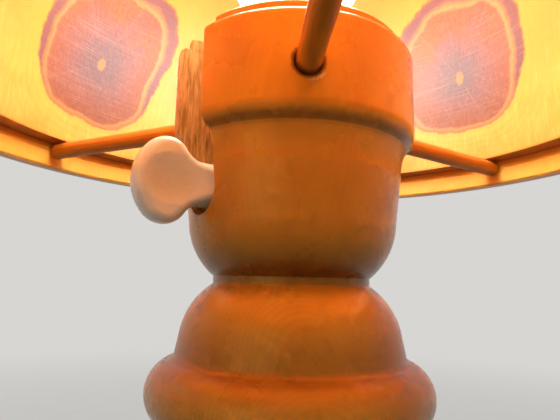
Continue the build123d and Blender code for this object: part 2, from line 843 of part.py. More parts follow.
with BuildPart() as key_knob:
    with BuildSketch(paddle_plane):
        with BuildLine():
            Polyline(neck_point, (key_root, key_neck_radius), (key_root, 0), (key_tip_reach, 0))
            TangentArc((key_tip_reach, 0), arcs_meet, tangent=(0, 1))
            TangentArc(wide_point, arcs_meet, tangent=(1, 0))
            double_curve(wide_point, neck_point, heading=(-1, 0))
        make_face()
    revolve(axis=Axis((0, 0, key_z), (0, -1, 0)))
    with BuildSketch(thickness_plane):
        with BuildLine():
            Polyline(
                face_root,
                (key_root - 1, key_neck_radius + fit_gap),
                (key_root - 1, 0),
                (key_tip_reach + 1, 0),
                (key_tip_reach + 1, key_half_thickness),
                face_point,
            )
            double_curve(face_point, face_root, heading=(-1, 0))
        make_face()
        mirror(about=Plane.XZ)
    extrude(amount=key_half_height * 2, both=True, mode=Mode.INTERSECT)
    rim_curves = key_knob.edges().filter_by(GeomType.BSPLINE)
    fillet([edge for edge in rim_curves if edge.bounding_box().min.Y < -key_neck_end - 1], key_rim)
    dish_ball = (key_dish_radius**2 + key_dish_depth**2) / (2 * key_dish_depth)
    dish_offset = key_half_thickness - key_dish_depth + dish_ball
    with Locations((dish_offset, -key_wide_reach, key_z), (-dish_offset, -key_wide_reach, key_z)):
        Sphere(dish_ball, mode=Mode.SUBTRACT)
    balls = key_knob.faces().filter_by(GeomType.SPHERE)
    dishes = [face for face in balls if abs(face.center().X) > key_half_thickness / 2]
    fillet([edge for face in dishes for edge in face.outer_wire().edges()], key_dish_edge)
    with BuildSketch(key_plane.offset(key_root)):
        Circle(shaft_radius + fit_gap)
    extrude(amount=shaft_end - key_root + seat_gap, mode=Mode.SUBTRACT)
key_knob.part.label = "key_knob"
export_step(key_knob.part, "parts/key_knob.step")

# Bulb: a thin frosted glass envelope, screw cap, insulator and end contact
cap_foot = bulb_z + bulb_end_height
glass_z = cap_foot + bulb_cap_height
glass_top = glass_z + bulb_glass_height
widest_z = glass_top - bulb_radius
flare_z = glass_z + (widest_z - glass_z) * 0.32
flare_radius = bulb_neck_radius + (bulb_radius - bulb_neck_radius) * 0.28
with BuildPart() as bulb_glass:
    with BuildSketch(Plane.XZ):
        with BuildLine():
            Line((bulb_neck_radius, glass_z), (bulb_neck_radius - bulb_glass_wall, glass_z))
            Spline(
                (bulb_neck_radius - bulb_glass_wall, glass_z),
                (flare_radius - bulb_glass_wall, flare_z),
                (bulb_radius - bulb_glass_wall, widest_z),
                tangents=((0, 1), (0, 1)),
            )
            TangentArc(
                (bulb_radius - bulb_glass_wall, widest_z),
                (0, glass_top - bulb_glass_wall),
                tangent=(0, 1),
            )
            Line((0, glass_top - bulb_glass_wall), (0, glass_top))
            TangentArc((0, glass_top), (bulb_radius, widest_z), tangent=(1, 0))
            Spline(
                (bulb_radius, widest_z),
                (flare_radius, flare_z),
                (bulb_neck_radius, glass_z),
                tangents=((0, -1), (0, -1)),
            )
        make_face()
    revolve(axis=Axis.Z)
bulb_glass.part.label = "bulb_glass"
export_step(bulb_glass.part, "parts/bulb_glass.step")

with BuildPart() as bulb_cap:
    with BuildSketch(Plane.XZ):
        with BuildLine():
            Polyline(
                (bulb_cap_radius, cap_foot),
                (bulb_cap_radius, glass_z - bulb_cap_flare),
                (bulb_neck_radius, glass_z),
                (bulb_neck_radius - bulb_cap_wall, glass_z),
                (bulb_cap_radius - bulb_cap_wall, glass_z - bulb_cap_flare - bulb_cap_wall),
                (bulb_cap_radius - bulb_cap_wall, cap_foot + bulb_cap_wall),
                (bulb_end_radius, cap_foot + bulb_cap_wall),
                (bulb_end_radius, cap_foot),
                close=True,
            )
        make_face()
    revolve(axis=Axis.Z)
bulb_cap.part.label = "bulb_cap"
export_step(bulb_cap.part, "parts/bulb_cap.step")

with BuildPart() as bulb_insulator:
    with BuildSketch(Plane.XZ):
        with BuildLine():
            Polyline(
                (0, bulb_z + bulb_contact_height),
                (bulb_contact_radius + 1, bulb_z + bulb_contact_height),
                (bulb_cap_radius - 1, cap_foot),
                (0, cap_foot),
                close=True,
            )
        make_face()
    revolve(axis=Axis.Z)
bulb_insulator.part.label = "bulb_insulator"
export_step(bulb_insulator.part, "parts/bulb_insulator.step")

with BuildPart() as bulb_contact:
    with BuildSketch(Plane.XZ):
        with BuildLine():
            contact_side = (bulb_contact_radius, bulb_z + bulb_contact_height)
            ThreePointArc(
                (0, bulb_z), (bulb_contact_radius * 0.7, bulb_z + 0.4), contact_side
            )
            Polyline(contact_side, (0, bulb_z + bulb_contact_height), (0, bulb_z))
        make_face()
    revolve(axis=Axis.Z)
bulb_contact.part.label = "bulb_contact"
export_step(bulb_contact.part, "parts/bulb_contact.step")

# Bulb stem and filament, inside the frosted glass
stem_top = glass_z + stem_height
with BuildPart() as bulb_stem:
    with BuildSketch(Plane.XZ):
        with BuildLine():
            Polyline(
                (0, glass_z - bulb_cap_height / 2),
                (bulb_cap_radius - 1, glass_z - bulb_cap_height / 2),
                (bulb_cap_radius - 1, glass_z - bulb_cap_height / 2 + 1),
            )
            TangentArc(
                (stem_radius, glass_z + stem_radius),
                (bulb_cap_radius - 1, glass_z - bulb_cap_height / 2 + 1),
                tangent=(0, -1),
            )
            Polyline(
                (stem_radius, glass_z + stem_radius),
                (stem_radius * 0.6, stem_top),
                (0, stem_top),
                (0, glass_z - bulb_cap_height / 2),
            )
        make_face()
    revolve(axis=Axis.Z)
bulb_stem.part.label = "bulb_stem"
export_step(bulb_stem.part, "parts/bulb_stem.step")

filament_z = glass_z + filament_height
with BuildPart() as bulb_filament:
    with BuildLine() as filament_line:
        FilletPolyline(
            (-lead_radius * 4, 0, stem_top),
            (-lead_radius * 4, 0, stem_top + filament_radius / 2),
            (-filament_radius, 0, filament_z),
            (filament_radius, 0, filament_z),
            (lead_radius * 4, 0, stem_top + filament_radius / 2),
            (lead_radius * 4, 0, stem_top),
            radius=filament_radius / 4,
        )
    with BuildSketch(Plane(filament_line.line @ 0, z_dir=filament_line.line % 0)):
        Circle(lead_radius)
    sweep()
bulb_filament.part.label = "bulb_filament"
export_step(bulb_filament.part, "parts/bulb_filament.step")
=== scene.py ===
import json
import math

import bmesh
import bpy
from mathutils import Matrix, Vector


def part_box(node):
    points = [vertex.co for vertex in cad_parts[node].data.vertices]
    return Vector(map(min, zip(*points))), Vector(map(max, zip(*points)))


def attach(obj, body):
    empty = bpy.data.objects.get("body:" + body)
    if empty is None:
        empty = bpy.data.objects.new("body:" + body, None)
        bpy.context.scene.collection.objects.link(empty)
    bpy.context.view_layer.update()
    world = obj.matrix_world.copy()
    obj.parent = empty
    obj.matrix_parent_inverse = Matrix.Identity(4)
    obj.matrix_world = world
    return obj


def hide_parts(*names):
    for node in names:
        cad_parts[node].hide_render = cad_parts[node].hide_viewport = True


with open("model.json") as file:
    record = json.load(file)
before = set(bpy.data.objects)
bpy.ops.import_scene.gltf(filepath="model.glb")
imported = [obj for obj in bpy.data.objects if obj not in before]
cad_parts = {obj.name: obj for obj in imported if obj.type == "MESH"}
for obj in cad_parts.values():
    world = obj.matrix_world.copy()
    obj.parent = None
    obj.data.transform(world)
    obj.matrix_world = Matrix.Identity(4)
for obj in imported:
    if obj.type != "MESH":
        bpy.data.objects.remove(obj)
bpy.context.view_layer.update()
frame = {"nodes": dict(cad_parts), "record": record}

nodes = frame["nodes"]

# Millimetres in a metre
MM = 1000.0

# Heights in millimetres, as the solids have them; NECK is where the lamp's head meets the bell column
KEY_Z = (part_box("key_shaft")[0].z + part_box("key_shaft")[1].z) / 2 * MM
NECK = KEY_Z - 25.0
JOINT = NECK - 1.2
GROOVE = NECK - 21.8
BELL_FOOT = NECK - 37.5
BAND_FOOT = NECK - 46.6
SLOT_CENTRE = NECK + 24.5
QUIRK = NECK + 38.4
ARM_Z = NECK + 52.0
CEILING = ARM_Z + 3.45
TOP_STEP = NECK + 67.2
COLUMN_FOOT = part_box("foot")[1].z * MM
COLUMN_BEAD_TOP = COLUMN_FOOT + 11.0
FOOT_BEAD_TOP = COLUMN_FOOT - 18.0

# Widths, and distances from the lamp's axis, in millimetres
SLOT_MIDDLE = 0.9
SLOT_HALF = 7.8
SLOT_BACK = -21.0
BORE_RADIUS = 21.6
HOLE_MOUTH = 3.9
ARM_SUNK = 38.0
ARM_TIP = 110.8
DISH_REACH = 40.6

# Angles of the arms round the axis, in degrees
ARM_ANGLES = {"arm_back": 90, "arm_front_left": 210, "arm_front_right": 330}

scene = bpy.context.scene
scene.view_settings.view_transform = "Standard"


class Nodes:
    """Shader nodes in one tree. A value is a number, a colour or another node's output.

    less and over are a minus b and a divided by b; length is of a vector with the parts a and b.
    """

    def __init__(self, tree):
        self.tree = tree
        tree.nodes.clear()

    def put(self, socket, value):
        if isinstance(value, bpy.types.NodeSocket):
            self.tree.links.new(value, socket)
        else:
            socket.default_value = value

    def make(self, kind, inputs, output=0, **settings):
        node = self.tree.nodes.new(kind)
        for name, value in settings.items():
            setattr(node, name, value)
        for key, value in inputs.items():
            self.put(node.inputs[key], value)
        return node.outputs[output]

    def math(self, operation, a, b=0.0):
        return self.make("ShaderNodeMath", {0: a, 1: b}, operation=operation)

    def sum(self, first, *others):
        for other in others:
            first = self.math("ADD", first, other)
        return first

    def times(self, first, *others):
        for other in others:
            first = self.math("MULTIPLY", first, other)
        return first

    def most(self, first, *others):
        for other in others:
            first = self.math("MAXIMUM", first, other)
        return first

    def less(self, a, b):
        return self.math("SUBTRACT", a, b)

    def over(self, a, b):
        return self.math("DIVIDE", a, b)

    def length(self, a, b):
        return self.math("SQRT", self.sum(self.times(a, a), self.times(b, b)))

    def shake(self, value, noise, amount):
        """value moved up and down by a noise, which lies round 0.5."""
        return self.sum(value, self.times(self.less(noise, 0.5), amount))

    def scaled(self, vector, by):
        if isinstance(by, (int, float)):
            by = (by, by, by)
        return self.make("ShaderNodeVectorMath", {0: vector, 1: by}, operation="MULTIPLY")

    def plus(self, vector, other):
        return self.make("ShaderNodeVectorMath", {0: vector, 1: other}, operation="ADD")

    def dot(self, vector, other):
        inputs = {0: vector, 1: other}
        return self.make("ShaderNodeVectorMath", inputs, output="Value", operation="DOT_PRODUCT")

    def join(self, x, y, z):
        return self.make("ShaderNodeCombineXYZ", {0: x, 1: y, 2: z})

    def split(self, vector):
        node = self.tree.nodes.new("ShaderNodeSeparateXYZ")
        self.put(node.inputs[0], vector)
        return node.outputs[0], node.outputs[1], node.outputs[2]

    def noise(self, vector, detail=2.0, rough=0.5, scale=1.0, twist=0.0, output="Fac"):
        inputs = {
            "Vector": vector,
            "Scale": scale,
            "Detail": detail,
            "Roughness": rough,
            "Distortion": twist,
        }
        return self.make("ShaderNodeTexNoise", inputs, output=output)

    def cells(self, vector):
        """Distance to the nearest of scattered points."""
        return self.make("ShaderNodeTexVoronoi", {"Vector": vector, "Scale": 1.0}, output="Distance")

    def ramp(self, value, stops):
        node = self.tree.nodes.new("ShaderNodeValToRGB")
        self.put(node.inputs[0], value)
        elements = node.color_ramp.elements
        while len(elements) < len(stops):
            elements.new(0.5)
        for element, (position, colour) in zip(elements, stops):
            element.position = position
            if isinstance(colour, (int, float)):
                colour = (colour, colour, colour)
            element.color = (*colour, 1.0)
        return node.outputs[0]

    def mix(self, amount, a, b, blend="MIX"):
        node = self.tree.nodes.new("ShaderNodeMix")
        node.data_type = "RGBA"
        node.blend_type = blend
        self.put(node.inputs[0], amount)
        # Inputs 6 and 7 are the two colours, output 2 the mixed one
        for index, value in ((6, a), (7, b)):
            if isinstance(value, tuple):
                value = (*value, 1.0)
            self.put(node.inputs[index], value)
        return node.outputs[2]

    def span(self, value, low, high, to_low=0.0, to_high=1.0, smooth=False):
        """value from low to high, mapped to to_low to to_high and held there beyond."""
        kind = "SMOOTHSTEP" if smooth else "LINEAR"
        inputs = {0: value, 1: low, 2: high, 3: to_low, 4: to_high}
        return self.make("ShaderNodeMapRange", inputs, interpolation_type=kind)

    def band(self, value, centre, width):
        """A smooth hump, 1 at centre and gone past about twice the width."""
        away = self.over(self.less(value, centre), width)
        return self.math("EXPONENT", self.times(away, away, -1.0))

    def bump(self, height, strength, depth, below=None):
        """depth is in millimetres; below is a normal to add the bump to."""
        inputs = {"Height": height, "Strength": strength, "Distance": depth / MM}
        if below:
            inputs["Normal"] = below
        return self.make("ShaderNodeBump", inputs)


class Graph(Nodes):
    """One material with a principled shader, and the place on the object in millimetres."""

    def __init__(self, name):
        self.material = bpy.data.materials.new(name)
        self.material.use_nodes = True
        super().__init__(self.material.node_tree)
        self.surface = self.tree.nodes.new("ShaderNodeBsdfPrincipled")
        output = self.tree.nodes.new("ShaderNodeOutputMaterial")
        self.tree.links.new(self.surface.outputs[0], output.inputs[0])
        coordinate = self.tree.nodes.new("ShaderNodeTexCoord")
        self.place = self.scaled(coordinate.outputs["Object"], MM)

    def set(self, **sockets):
        for name, value in sockets.items():
            if isinstance(value, tuple) and name != "Subsurface_Radius":
                value = (*value, 1.0)
            self.put(self.surface.inputs[name.replace("_", " ")], value)
        return self.material


def directions(angle):
    """Unit vectors along and across an angle round the z axis."""
    turn = math.radians(angle)
    return (math.cos(turn), math.sin(turn), 0.0), (-math.sin(turn), math.cos(turn), 0.0)


def growth_rings(graph, place, pith, spacing, seed):
    """Late wood from 0 to 1 in rings round a pith line along z, and the thin pale line beside each."""
    stretched = graph.scaled(place, (0.018, 0.018, 0.006))
    offset = graph.plus(stretched, (seed, seed * 0.37, seed * 1.91))
    wander = graph.plus(graph.noise(offset, detail=0.0, output="Color"), (-0.5, -0.5, -0.5))
    moved = graph.plus(place, graph.scaled(wander, (14.0, 14.0, 0.0)))
    x, y, _ = graph.split(graph.plus(moved, (-pith[0], -pith[1], 0.0)))
    radius = graph.length(x, y)
    uneven = graph.noise(graph.join(graph.times(radius, 0.09), seed, 0.0))
    phase = graph.math("FRACT", graph.sum(graph.over(radius, spacing), graph.times(uneven, 3.0)))
    late = graph.ramp(phase, [(0.0, 0.05), (0.45, 0.2), (0.72, 1.0), (0.80, 0.9), (0.98, 0.05)])
    early = graph.ramp(phase, [(0.0, 0.0), (0.10, 0.8), (0.18, 0.3), (0.30, 0.0)])
    patches = graph.noise(graph.plus(graph.scaled(place, 0.045), (seed, 0.0, seed)))
    strength = graph.span(patches, 0.3, 0.7, 0.25, 1.0)
    return graph.times(late, strength), graph.times(early, strength)


def fibres(graph, place, seed, across, along):
    """Fine streaks along z, with across and along as their counts in a millimetre."""
    fine = graph.plus(graph.scaled(place, (across, across, along)), (seed, seed, seed))
    return graph.noise(fine, detail=4.0, rough=0.62)


# Linear colours of the stained and lacquered wood
WOOD_PALE = (0.60, 0.295, 0.0205)
WOOD_DEEP = (0.46, 0.166, 0.0095)
WOOD_LATE = (0.28, 0.058, 0.005)
WOOD_EARLY = (0.72, 0.31, 0.052)
WOOD_STREAK = (0.63, 0.235, 0.028)
WOOD_PORE = (0.22, 0.045, 0.005)
WOOD_STAIN_AND_SHADE = (0.135, 0.028, 0.006)
WOOD_SPECK = (0.85, 0.66, 0.42)
WOOD_GLOSS = (1.0, 0.66, 0.16)


def turned_wood(name, pith, seed, stain_and_shade, ring, figure, tint, extra=None):
    """Stained and lacquered turned wood, darkened at the listed heights by pooled stain and by painted
    shade.
    """
    graph = Graph(name)
    place = graph.place
    _, _, z = graph.split(place)
    late, early = growth_rings(graph, place, pith, ring, seed)
    streak = fibres(graph, place, seed, across=2.6, along=0.09)
    pores = fibres(graph, place, seed + 7.0, across=5.5, along=0.32)
    drifting = graph.plus(graph.scaled(place, (0.03, 0.03, 0.016)), (seed, 0.0, 0.0))
    cloud = graph.noise(drifting, detail=3.0, rough=0.55)
    pale = tuple(a * b for a, b in zip(WOOD_PALE, tint))
    deep = tuple(a * b for a, b in zip(WOOD_DEEP, tint))
    body = graph.mix(graph.span(cloud, 0.34, 0.68), pale, deep)
    body = graph.mix(graph.times(late, figure), body, WOOD_LATE)
    body = graph.mix(graph.times(early, figure), body, WOOD_EARLY)
    body = graph.mix(graph.span(streak, 0.45, 0.78, 0.0, 0.25), body, WOOD_STREAK)
    body = graph.mix(graph.span(pores, 0.62, 0.76, 0.0, 0.30), body, WOOD_PORE)
    # Pooled stain in quirks, and on the head and bell painted shade where they lie in shade
    stain_and_shade_amount = graph.most(*(graph.times(graph.band(z, at, width), amount) for at, width, amount in stain_and_shade))
    ragged = graph.noise(graph.scaled(place, (0.35, 0.35, 0.5)), detail=3.0)
    stain_and_shade_amount = graph.times(stain_and_shade_amount, graph.span(ragged, 0.25, 0.6, 0.75, 1.0))
    body = graph.mix(stain_and_shade_amount, body, WOOD_STAIN_AND_SHADE)
    speck = graph.span(graph.cells(graph.scaled(place, 0.055)), 0.012, 0.022, 1.0, 0.0)
    body = graph.mix(graph.times(speck, 0.8), body, WOOD_SPECK)
    smudge = graph.noise(graph.scaled(place, 0.075), detail=4.0, rough=0.6)
    rough = graph.span(smudge, 0.3, 0.7, 0.23, 0.32)
    turning = graph.noise(graph.join(0.0, 0.0, graph.times(z, 1.9)), detail=3.0, rough=0.7)
    marks = [(pores, -0.4), (turning, 0.35), (late, 0.03), (speck, -0.3)]
    height = graph.sum(*(graph.times(mark, amount) for mark, amount in marks))
    normal = graph.bump(height, 0.3, 0.12)
    broad = graph.noise(graph.scaled(place, (0.11, 0.11, 0.05)))
    normal = graph.bump(broad, 0.22, 0.5, normal)
    if extra:
        body, rough, normal = extra(graph, body, rough, normal)
    return graph.set(
        Base_Color=body,
        Roughness=rough,
        Normal=normal,
        Specular_IOR_Level=0.60,
        Specular_Tint=WOOD_GLOSS,
    )


# Colours of the cut slot and the bore, the painted highlight on the slot's edge, the painted shadow in the
# arm holes' mouths, and old glue
RAW_WOOD = [
    (0.25, (0.105, 0.060, 0.022)),
    (0.46, (0.165, 0.100, 0.040)),
    (0.62, (0.22, 0.140, 0.058)),
    (0.8, (0.29, 0.19, 0.090)),
]
SLOT_EDGE_HIGHLIGHT = (0.66, 0.36, 0.12)
MOUTH_SHADOW = (0.11, 0.024, 0.010)
OLD_GLUE = (0.80, 0.60, 0.42)


def arm_hole(graph, angle, worn):
    """The mouth of an arm's hole, painted dark as shadow in the chipped gap round the dowel, and the glue
    that ran out under it, each from 0 to 1.
    """
    along, aside = directions(angle)
    _, _, z = graph.split(graph.place)
    across = graph.dot(graph.place, aside)
    outer_side = graph.span(graph.dot(graph.place, along), 0.0, 1.0)
    up = graph.less(z, ARM_Z)
    away = graph.shake(graph.length(across, up), worn, 1.4)
    mouth = graph.times(graph.span(away, HOLE_MOUTH, HOLE_MOUTH + 1.0, 1.0, 0.0, smooth=True), outer_side)
    run = graph.times(graph.band(away, HOLE_MOUTH + 1.0, 0.28), graph.span(up, -2.6, -3.4))
    return mouth, graph.times(run, graph.span(across, -0.5, 1.5), outer_side)


def head_details(graph, body, rough, normal):
    """Raw slot cheeks and bore with a painted highlight along the slot's edge, and the arm holes' mouths
    painted dark as shadow, with a little glue.
    """
    x, y, z = graph.split(graph.place)
    tear = graph.noise(graph.scaled(graph.place, (1.1, 1.1, 0.13)), detail=4.0, rough=0.6)
    raw = graph.ramp(tear, RAW_WOOD)
    beside = graph.less(x, SLOT_MIDDLE)
    below = graph.math("MINIMUM", graph.less(z, SLOT_CENTRE), 0.0)
    wide = graph.length(beside, below)
    front = graph.span(y, SLOT_BACK, SLOT_BACK - 1.0)
    slot = graph.times(graph.span(wide, SLOT_HALF - 0.04, SLOT_HALF + 0.08, 1.0, 0.0), front)
    bore = graph.span(graph.length(x, y), BORE_RADIUS, BORE_RADIUS + 0.3, 1.0, 0.0)
    uncovered = graph.most(slot, bore)
    # A painted highlight along the slot's lit edge, broken up by the torn grain
    edge_highlight = graph.times(graph.band(wide, SLOT_HALF + 0.1, 0.5), front)
    edge_highlight = graph.times(edge_highlight, graph.span(z, NECK + 18.0, NECK + 20.0), graph.span(tear, 0.40, 0.60))
    body = graph.mix(uncovered, body, raw)
    body = graph.mix(graph.times(edge_highlight, 0.8), body, SLOT_EDGE_HIGHLIGHT)
    worn = graph.noise(graph.scaled(graph.place, (1.2, 1.2, 0.9)), detail=3.0, rough=0.6)
    holes = [arm_hole(graph, angle, worn) for angle in ARM_ANGLES.values()]
    mouth = graph.most(*(mark for mark, _ in holes))
    glue = graph.most(*(run for _, run in holes))
    # Painted shadow in the mouths of the arm holes
    body = graph.mix(graph.times(mouth, 0.82), body, MOUTH_SHADOW)
    body = graph.mix(graph.times(glue, 0.75), body, OLD_GLUE)
    unlacquered = graph.most(uncovered, mouth)
    rough = graph.mix(unlacquered, rough, (0.82, 0.82, 0.82))
    rut = graph.times(unlacquered, graph.less(tear, 0.5))
    return body, rough, graph.bump(rut, 0.5, 0.6, normal)


# Colours of the dowels
DOWEL_PALE = (0.66, 0.285, 0.030)
DOWEL_DEEP = (0.56, 0.215, 0.020)
DOWEL_LATE = (0.27, 0.064, 0.007)
DOWEL_STREAK = (0.52, 0.18, 0.026)
DOWEL_PORE = (0.13, 0.030, 0.006)
DOWEL_END = (0.48, 0.19, 0.04)
DOWEL_SUNK_SHADE = (0.10, 0.022, 0.008)
DOWEL_GLOSS = (1.0, 0.58, 0.20)


def dowel_wood(name, angle, seed):
    """A dowel with its grain along the arm."""
    graph = Graph(name)
    along, aside = directions(angle)
    _, _, z = graph.split(graph.place)
    out = graph.dot(graph.place, along)
    place = graph.join(graph.dot(graph.place, aside), graph.less(z, ARM_Z), out)
    late, _ = growth_rings(graph, place, (9.0, 14.0), 1.3, seed)
    streak = fibres(graph, place, seed, across=2.4, along=0.07)
    pores = fibres(graph, place, seed + 3.0, across=5.0, along=0.22)
    cloud = graph.noise(graph.scaled(place, (0.1, 0.1, 0.03)))
    body = graph.mix(graph.span(cloud, 0.35, 0.65), DOWEL_PALE, DOWEL_DEEP)
    body = graph.mix(graph.times(late, 0.3), body, DOWEL_LATE)
    body = graph.mix(graph.span(streak, 0.45, 0.75, 0.0, 0.3), body, DOWEL_STREAK)
    body = graph.mix(graph.span(pores, 0.60, 0.72, 0.0, 0.4), body, DOWEL_PORE)
    body = graph.mix(graph.span(out, ARM_TIP - 0.6, ARM_TIP - 0.2), body, DOWEL_END)
    # Painted shade on the part of the dowel that goes into the head's hole
    sunk_shade = graph.span(out, ARM_SUNK + 1.0, ARM_SUNK - 1.0)
    body = graph.mix(graph.times(sunk_shade, 0.75), body, DOWEL_SUNK_SHADE)
    height = graph.sum(graph.times(pores, -0.6), graph.times(streak, 0.5))
    return graph.set(
        Base_Color=body,
        Roughness=graph.span(streak, 0.3, 0.7, 0.38, 0.52),
        Normal=graph.bump(height, 0.45, 0.12),
        Specular_IOR_Level=0.30,
        Specular_Tint=DOWEL_GLOSS,
    )


# Each knot: angle round the shade, height, half width, half height above and below, lean, seed
KNOTS = [
    (204.0, NECK + 94.5, 30.5, 48.0, 33.5, 0.42, 1.0),
    (94.6, NECK + 96.0, 32.5, 46.0, 31.0, -0.05, 2.6),
    (12.0, NECK + 104.0, 22.0, 25.0, 22.0, 0.1, 4.1),
    (282.0, NECK + 92.0, 19.0, 22.0, 18.0, 0.0, 5.7),
    (246.0, NECK + 147.0, 9.0, 8.0, 7.0, 0.0, 7.3),
    (52.0, NECK + 69.0, 6.5, 5.5, 5.0, 0.0, 8.9),
]

# The power that squares a knot's outline, and how softly it starts to lean, in millimetres
KNOT_CORNERS = 2.8
KNOT_BEND = 20.0

# Colours of a knot from its pith outwards, and of the band round its edge; their greyish mauve is partly a
# painted reflection of the lit bulb
KNOT_HEART = [
    (0.0, (0.100, 0.085, 0.110)),
    (0.22, (0.105, 0.085, 0.110)),
    (0.40, (0.150, 0.082, 0.095)),
    (0.62, (0.175, 0.070, 0.055)),
    (0.80, (0.190, 0.070, 0.040)),
]
KNOT_EDGE = [
    (0.76, (0.190, 0.070, 0.040)),
    (0.80, (0.360, 0.180, 0.070)),
    (0.835, (0.300, 0.130, 0.050)),
    (0.875, (0.125, 0.060, 0.070)),
    (0.94, (0.115, 0.055, 0.068)),
    (0.99, (0.190, 0.070, 0.035)),
]
KNOT_WARM = (0.250, 0.088, 0.026)
KNOT_DARK = (0.080, 0.034, 0.030)
KNOT_LIGHT = (0.250, 0.150, 0.120)
KNOT_RAY = (0.230, 0.145, 0.125)
KNOT_SMOKE = (0.085, 0.080, 0.110)
KNOT_PITH = (0.340, 0.150, 0.070)
KNOT_CRACK = (0.300, 0.220, 0.180)
KNOT_OUTSIDE = (2.2, 1.25, 0.55)

# Colours of the shade's pine
PINE_PALE = (0.80, 0.385, 0.082)
PINE_DEEP = (0.72, 0.290, 0.044)
PINE_LATE = (0.62, 0.26, 0.035)
PINE_STREAK = (0.88, 0.62, 0.22)
PINE_RESIN = (0.56, 0.22, 0.03)
PINE_SHADE_HIGH = (0.68, 0.165, 0.018)
PINE_HALO = (0.74, 0.36, 0.05)
PINE_BENT = (0.54, 0.20, 0.025)
PINE_TURNED = (0.52, 0.21, 0.03)
PINE_SCUFF = (0.42, 0.30, 0.26)
PINE_RIM_LIGHT = (0.84, 0.50, 0.030)
PINE_STEP_SHADE = (0.42, 0.140, 0.018)


def draw_knot(graph, body, mottle, outer, knot):
    """The pine with one knot drawn on it, and where the knot and its cracks are, each from 0 to 1."""
    angle, height, half_width, half_above, half_below, lean, seed = knot
    place = graph.place
    along, aside = directions(angle)
    _, _, z = graph.split(place)
    side = graph.span(graph.dot(place, along), 0.0, 10.0)

    # u across and v up are 1 at the knot's edge; the upper part leans over in a soft bend
    up = graph.less(z, height)
    bend = graph.math("SQRT", graph.sum(graph.times(up, up), KNOT_BEND**2))
    bend = graph.less(graph.sum(bend, up), KNOT_BEND)
    across = graph.sum(graph.dot(place, aside), graph.times(bend, lean / 2))
    u = graph.over(across, half_width)
    v = graph.over(up, graph.span(up, -6.0, 6.0, half_below, half_above, smooth=True))
    powers = [graph.math("POWER", graph.math("ABSOLUTE", value), KNOT_CORNERS) for value in (u, v)]
    ring = graph.math("POWER", graph.sum(*powers), 1 / KNOT_CORNERS)
    reach = graph.length(u, v)
    compass = graph.join(graph.over(u, reach), graph.over(v, reach), seed)

    # Noises that make the outline, the rays and the smoky heart uneven
    lobes = graph.noise(compass, detail=1.0, rough=0.4, scale=1.3)
    wobble = graph.noise(graph.plus(graph.scaled(place, 0.11), (seed, seed, 0.0)), detail=3.0, rough=0.6)
    ring = graph.shake(graph.shake(ring, lobes, 0.20), wobble, 0.12)
    rays = graph.noise(graph.plus(graph.scaled(compass, 6.0), (0.0, 0.0, seed)), detail=3.0, rough=0.7)
    smoke = graph.noise(graph.plus(graph.scaled(place, 0.085), (seed, 0.0, seed)), detail=4.0, rough=0.65)
    heart = graph.ramp(graph.shake(ring, smoke, 0.25), KNOT_HEART)
    warm = graph.times(graph.span(v, 0.05, 0.45, smooth=True), graph.span(smoke, 0.40, 0.58))
    warm = graph.times(warm, graph.span(ring, 0.22, 0.42))
    heart = graph.mix(graph.times(warm, 0.75), heart, KNOT_WARM)
    heart = graph.mix(graph.span(mottle, 0.50, 0.70, 0.0, 0.40), heart, KNOT_DARK)
    heart = graph.mix(graph.span(mottle, 0.46, 0.30, 0.0, 0.35), heart, KNOT_LIGHT)
    heart = graph.mix(graph.span(rays, 0.54, 0.74, 0.0, 0.25), heart, KNOT_RAY)
    blurred = graph.shake(ring, mottle, 0.05)
    edge = graph.ramp(blurred, KNOT_EDGE)
    heart = graph.mix(graph.span(blurred, 0.74, 0.80, smooth=True), heart, edge)

    # The grey middle, the pith and the cracks round it
    off = graph.length(graph.times(u, half_width), graph.times(up, 0.62))
    off = graph.shake(off, mottle, 1.6)
    grey = graph.span(off, half_width * 0.22, 1.5, 0.0, 0.5, smooth=True)
    heart = graph.mix(grey, heart, KNOT_SMOKE)
    pith = graph.span(off, half_width * 0.072, half_width * 0.045, smooth=True)
    heart = graph.mix(pith, heart, KNOT_PITH)
    crack = graph.times(graph.span(rays, 0.70, 0.74), graph.span(ring, 0.44, 0.20))
    heart = graph.mix(graph.times(crack, 0.5), heart, KNOT_CRACK)
    # Outside the shade the knot is made brighter, redder and browner, without the painted reflection that
    # its inside colours carry
    heart = graph.mix(outer, heart, graph.mix(1.0, heart, KNOT_OUTSIDE, "MULTIPLY"))

    # The grain bends round the knot, whose dark outer band fades towards its foot
    halo = graph.times(graph.span(ring, 1.0, 1.5, 1.0, 0.0, smooth=True), side)
    bent = graph.math("FRACT", graph.times(ring, 11.0))
    bent = graph.times(graph.span(bent, 0.5, 0.95), halo)
    body = graph.mix(graph.times(halo, 0.22), body, PINE_HALO)
    body = graph.mix(graph.times(bent, 0.20), body, PINE_BENT)
    past = graph.less(blurred, graph.span(v, -0.75, 0.15, 0.86, 0.99, smooth=True))
    inside = graph.times(graph.span(past, -0.025, 0.020, 1.0, 0.0, smooth=True), side)
    return graph.mix(inside, body, heart), inside, graph.times(crack, inside)


